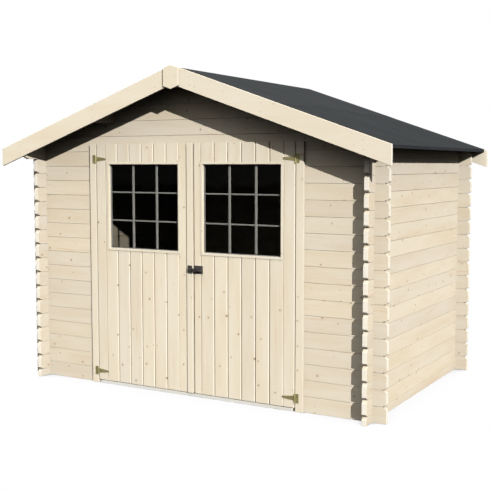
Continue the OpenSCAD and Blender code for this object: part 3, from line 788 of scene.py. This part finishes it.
# Felt: its thickness, how far down the slope the upper course ends, the step
# there, and how far the lower course runs under it
FELT_T = 3 * MM
FELT_LAP = 850 * MM
LAP_STEP = 1.2 * MM
LAP_UNDER = 2 * MM


def felt_side(name, side, seed):
    """Felt in two courses along the roof, the upper one lapped over the lower,
    and folded down over the eaves."""
    node = name + "_felt"
    lo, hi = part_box(node)
    reach = max(abs(lo.x), abs(hi.x))
    lift = ROOF_T / math.cos(ROOF_PITCH) + FIT
    run = (reach - FELT_T / 2) / math.cos(ROOF_PITCH)
    piece = Piece(name + "_felt_sheet", "shed", "felt", FELT, seed)
    m = slope(side, 0.0, lift)
    piece.board([(0.0, lo.y), (FELT_LAP, lo.y), (FELT_LAP, hi.y), (0.0, hi.y)], FELT_T, m, "u",
                edge=0.6 * MM)
    start = FELT_LAP - LAP_UNDER
    piece.board([(start, lo.y), (run, lo.y), (run, hi.y), (start, hi.y)], FELT_T - LAP_STEP, m,
                "u", edge=0.4 * MM)
    fold = Matrix(((0, 0, -side, side * reach), (1, 0, 0, 0), (0, 1, 0, 0), (0, 0, 0, 1)))
    z1 = under_z(reach) + lift + FELT_T
    fold_y1 = high(name + "_roof_boards").y
    piece.board([(lo.y, lo.z), (fold_y1, lo.z), (fold_y1, z1), (lo.y, z1)], FELT_T, fold, "u",
                edge=1.0 * MM)
    piece.finish(node)


felt_side("left", -1, 81)
felt_side("right", 1, 82)


MITRE_GAP = 0.2 * MM


def barge(node, seed):
    """Barge board: follows the slope, both its ends cut plumb."""
    lo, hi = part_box(node)
    side = 1 if hi.x + lo.x > 0 else -1
    reach = max(abs(lo.x), abs(hi.x))
    drop = hi.z - lo.z - reach * RISE
    piece = Piece(node + "_board", "shed", "trim_pine", TRIM_PINE, seed)
    flat = Matrix(((side, 0, 0, 0), (0, 0, 1, lo.y), (0, 1, 0, 0), (0, 0, 0, 1)))
    piece.board([(MITRE_GAP, hi.z), (MITRE_GAP, hi.z - drop), (reach, lo.z), (reach, lo.z + drop)],
                hi.y - lo.y, flat, "u", edge=ROOF_EDGE)
    piece.finish(node)


for i, node in enumerate(("front_barge_left", "front_barge_right",
                          "back_barge_left", "back_barge_right")):
    barge(node, 91 + i)

NAIL_RISE = 0.6 * MM


def apex_plate(node, seed):
    """Plate over a meeting of barge boards, thinner by its nail heads' rise."""
    lo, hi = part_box(node)
    x, fall = hi.x, hi.x * RISE
    piece = Piece(node + "_board", "shed", "trim_pine", TRIM_PINE, seed)
    y0 = lo.y + (NAIL_RISE if lo.y < 0 else 0)
    flat = Matrix(((1, 0, 0, 0), (0, 0, 1, y0), (0, 1, 0, 0), (0, 0, 0, 1)))
    piece.board([(-x, hi.z - fall), (-x, lo.z + fall), (0, lo.z), (x, lo.z + fall),
                 (x, hi.z - fall), (0, hi.z)], hi.y - lo.y - NAIL_RISE, flat, "v",
                edge=ROOF_EDGE)
    piece.finish(node)


apex_plate("front_apex_plate", 96)
apex_plate("back_apex_plate", 97)

for i, node in enumerate(("left_eaves_batten", "right_eaves_batten")):
    lo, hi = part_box(node)
    strip = Piece(node + "_strip", "shed", "trim_pine", TRIM_PINE, 98 + i)
    flat = Matrix(((1, 0, 0, 0), (0, 0, -1, hi.y), (0, 1, 0, 0), (0, 0, 0, 1)))
    top = [(x, under_z(x) - FIT) for x in (hi.x, lo.x)]
    strip.board([(lo.x, lo.z), (hi.x, lo.z)] + top, hi.y - lo.y, flat, "w", edge=1.5 * MM)
    strip.finish(node)

# ---------------------------------------------------------------- nails and screws

# A head from its middle out: share of the radius, share of the height
HEAD_FORM = ((0.0, 0.30), (0.30, 0.34), (0.45, 0.72), (0.80, 0.50), (1.0, 0.0))
HEAD_SIDES = 14
NAIL_R = 2.6 * MM
NAIL_H = 0.8 * MM
PLATE_SCREW_R = 3.2 * MM
STRAP_SCREW_R = 3.0 * MM
SCREW_H = 1.2 * MM
# How far the nails lie under the top edges of the barge boards, and under the
# peak of the apex plate and beside its middle
BARGE_DROPS = (38 * MM, 98 * MM)
PLATE_DROP = 87 * MM
PLATE_ASIDE = 35 * MM


def heads(name, body, slot, material, points, radius, height):
    """Domed heads with a small hollow in the middle, on faces that look along
    -Y. Each point is the middle of a head's foot."""
    piece = Piece(name, body, slot, material, 5)
    for x, y, z in points:
        start = len(piece.verts)
        for share, rise in HEAD_FORM:
            for i in range(HEAD_SIDES if share else 1):
                a = math.tau * i / HEAD_SIDES
                piece.verts.append(Vector((x + share * radius * math.cos(a), y - rise * height,
                                           z + share * radius * math.sin(a))))
        count = len(piece.verts) - start
        piece.grain += piece.verts[start:]
        piece.tone += [0.5] * count
        first = start + 1
        for i in range(HEAD_SIDES):
            j = (i + 1) % HEAD_SIDES
            piece.faces.append([start, first + i, first + j])
            for ring in range(len(HEAD_FORM) - 2):
                a = first + ring * HEAD_SIDES
                piece.faces.append([a + i, a + HEAD_SIDES + i, a + HEAD_SIDES + j, a + j])
        piece.end += [0.0] * (HEAD_SIDES * (len(HEAD_FORM) - 1))
    piece.finish()


barge_lo, barge_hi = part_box("front_barge_right")
nail_xs = (150 * MM, high("right_purlin").x - 22 * MM, low("right_eaves_batten").x + 14 * MM)
barge_nails = []
for x in nail_xs:
    for drop in BARGE_DROPS:
        barge_nails += [(s * x, barge_lo.y, barge_hi.z - x * RISE - drop) for s in (-1, 1)]
plate_lo, plate_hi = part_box("front_apex_plate")
plate_y = plate_lo.y + NAIL_RISE
barge_nails += [(s * PLATE_ASIDE, plate_y, plate_hi.z - PLATE_DROP) for s in (-1, 1)]
heads("roof_nails", "shed", "rod_steel", NAIL_STEEL, barge_nails, NAIL_R, NAIL_H)

# Hinges: the iron's thickness, half a plate's height, the screws' places
IRON_T = 2 * MM
PLATE_HALF = 33 * MM
PLATE_SCREWS = (-22 * MM, 22 * MM)
STRAP_SCREWS = (36 * MM, 62 * MM, 90 * MM)
hinges = (low("right_hinge_plates").z + PLATE_HALF, high("right_hinge_plates").z - PLATE_HALF)
plate_x = high("right_hinge_plates").x - 12 * MM
iron_y = LEAF_Y - FIT - IRON_T
plate_screws = [(s * plate_x, iron_y, z + dz) for s in (-1, 1) for z in hinges
                for dz in PLATE_SCREWS]
heads("hinge_plate_screws", "shed", "zinc_iron", SCREW_ZINC, plate_screws, PLATE_SCREW_R,
      SCREW_H)
strap_x = high("right_straps").x
for side_name, s in (("left", -1), ("right", 1)):
    strap_screws = [(s * (strap_x - x), iron_y, z) for z in hinges for x in STRAP_SCREWS]
    heads(side_name + "_strap_screws", side_name + "_door", "zinc_iron", SCREW_ZINC, strap_screws,
          STRAP_SCREW_R, SCREW_H)
batten_lo, batten_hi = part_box("cover_batten")
keeper_lo, keeper_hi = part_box("bolt_keeper")
batten_nails = [(batten_hi.x - 6 * MM, batten_lo.y, z)
                for z in (keeper_lo.z - 17 * MM, keeper_hi.z + 18 * MM)]
heads("batten_nails", "left_door", "rod_steel", NAIL_STEEL, batten_nails, NAIL_R, NAIL_H)

# ---------------------------------------------------------------- carried-over CAD nodes

CARRIED = {
    ZINC: ("left_hinge_plates", "right_hinge_plates", "left_straps", "right_straps"),
    BLACK_IRON: ("bolt_body", "bolt_keeper"),
    ROD_STEEL: ("bolt_rod",),
    GLASS: ("left_glass", "right_glass"),
}
for material, nodes in CARRIED.items():
    for node in nodes:
        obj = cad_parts[node]
        for s in obj.material_slots:
            s.link = "OBJECT"
            s.material = material

# ---------------------------------------------------------------- stage, light, camera

# The camera stands where the photograph's did: in front and to the right
CAMERA_AT = Vector((3.6996, FRONT_Y - 5.6059, 1.7335))
CAMERA_TURN = math.radians(30.014)
CAMERA_DIP = math.radians(5.048)
CAMERA_ROLL = math.radians(-0.019)
# Millimetres
LENS = 66.38
SENSOR = 36.0

camera_data = bpy.data.cameras.new("camera")
camera_data.sensor_width = SENSOR
camera_data.lens = LENS
camera_data.clip_end = 200
camera = bpy.data.objects.new("camera", camera_data)
camera.matrix_world = (Matrix.Translation(CAMERA_AT) @ Matrix.Rotation(CAMERA_TURN, 4, "Z")
                       @ Matrix.Rotation(math.pi / 2 - CAMERA_DIP, 4, "X")
                       @ Matrix.Rotation(CAMERA_ROLL, 4, "Z"))
bpy.context.scene.collection.objects.link(camera)
bpy.context.scene.camera = camera

# The sky's strength overhead, at the horizon, and towards the camera's side
SKY_TOP = 1.7
SKY_LOW = 0.03
SKY_FRONT = 0.19
FRONT_WAY = (0.45, -0.89)
SUN_TRAVEL = Vector((-1.174, 1.0, -0.607))
SUN_POWER = 3.97
SUN_WIDTH = math.radians(0.6)
sun_data = bpy.data.lights.new("sun", "SUN")
sun_data.energy = SUN_POWER
sun_data.angle = SUN_WIDTH
sun = bpy.data.objects.new("sun", sun_data)
sun.rotation_mode = "QUATERNION"
sun.rotation_quaternion = SUN_TRAVEL.to_track_quat("-Z", "Y")
bpy.context.scene.collection.objects.link(sun)


def make_world():
    """White to the camera. On the object, a soft sky that is brightest overhead
    and brighter in front than behind."""
    world = bpy.data.worlds.new("studio")
    world.use_nodes = True
    nt = world.node_tree
    back = nt.nodes["Background"]
    way = add(nt, "ShaderNodeSeparateXYZ")
    put(nt, add(nt, "ShaderNodeTexCoord").outputs["Generated"], way.inputs[0])
    height = maths(nt, "POWER", maths(nt, "MAXIMUM", way.outputs["Z"], 0.0), 2.0)
    sky = maths(nt, "MULTIPLY_ADD", height, SKY_TOP, SKY_LOW)
    front = maths(nt, "MULTIPLY", way.outputs["X"], FRONT_WAY[0])
    front = maths(nt, "MULTIPLY_ADD", way.outputs["Y"], FRONT_WAY[1], front)
    front = maths(nt, "MAXIMUM", front, 0.0)
    sky = maths(nt, "MULTIPLY_ADD", front, SKY_FRONT, sky)
    path = add(nt, "ShaderNodeLightPath").outputs["Is Camera Ray"]
    put(nt, smooth(nt, path, 0.0, 1.0, sky, 1.0), back.inputs["Strength"])
    back.inputs["Color"].default_value = (1, 1, 1, 1)
    bpy.context.scene.world = world


FLOOR_HALF = 60.0
FLOOR_Z = -0.5 * MM
# How far off a solid still darkens the floor with painted shade, how bright the
# floor is where it is covered, and how much of its light falls on the object
SHADE_REACH = 2.6
SHADE_LEAST = 0.04
FLOOR_LIGHT = 0.006


def make_floor():
    """A pale floor that shines softly, darker only where the shed covers it: painted shade."""
    mesh = bpy.data.meshes.new("floor")
    corners = ((-1, -1), (1, -1), (1, 1), (-1, 1))
    mesh.from_pydata([(x * FLOOR_HALF, y * FLOOR_HALF, 0) for x, y in corners], [], [(0, 1, 2, 3)])
    mat, nt, bsdf = new_material("studio_floor")
    nt.nodes.remove(bsdf)
    # Painted shade: the floor's glow is lowered where nearby solids hide the open sky
    open_sky = add(nt, "ShaderNodeAmbientOcclusion", samples=12)
    open_sky.inputs["Distance"].default_value = SHADE_REACH
    shade = smooth(nt, open_sky.outputs["AO"], 0.02, 0.42, SHADE_LEAST, 1.0)
    path = add(nt, "ShaderNodeLightPath").outputs["Is Camera Ray"]
    strength = maths(nt, "MULTIPLY", shade, smooth(nt, path, 0.0, 1.0, FLOOR_LIGHT, 1.0))
    glow = add(nt, "ShaderNodeEmission")
    glow.inputs["Color"].default_value = (1, 1, 1, 1)
    put(nt, strength, glow.inputs["Strength"])
    put(nt, glow.outputs[0], nt.nodes["Material Output"].inputs["Surface"])
    mesh.materials.append(mat)
    floor = bpy.data.objects.new("floor", mesh)
    floor.location.z = FLOOR_Z
    bpy.context.scene.collection.objects.link(floor)


make_world()
make_floor()
view = bpy.context.scene.view_settings
view.view_transform = "Standard"
view.look = "None"
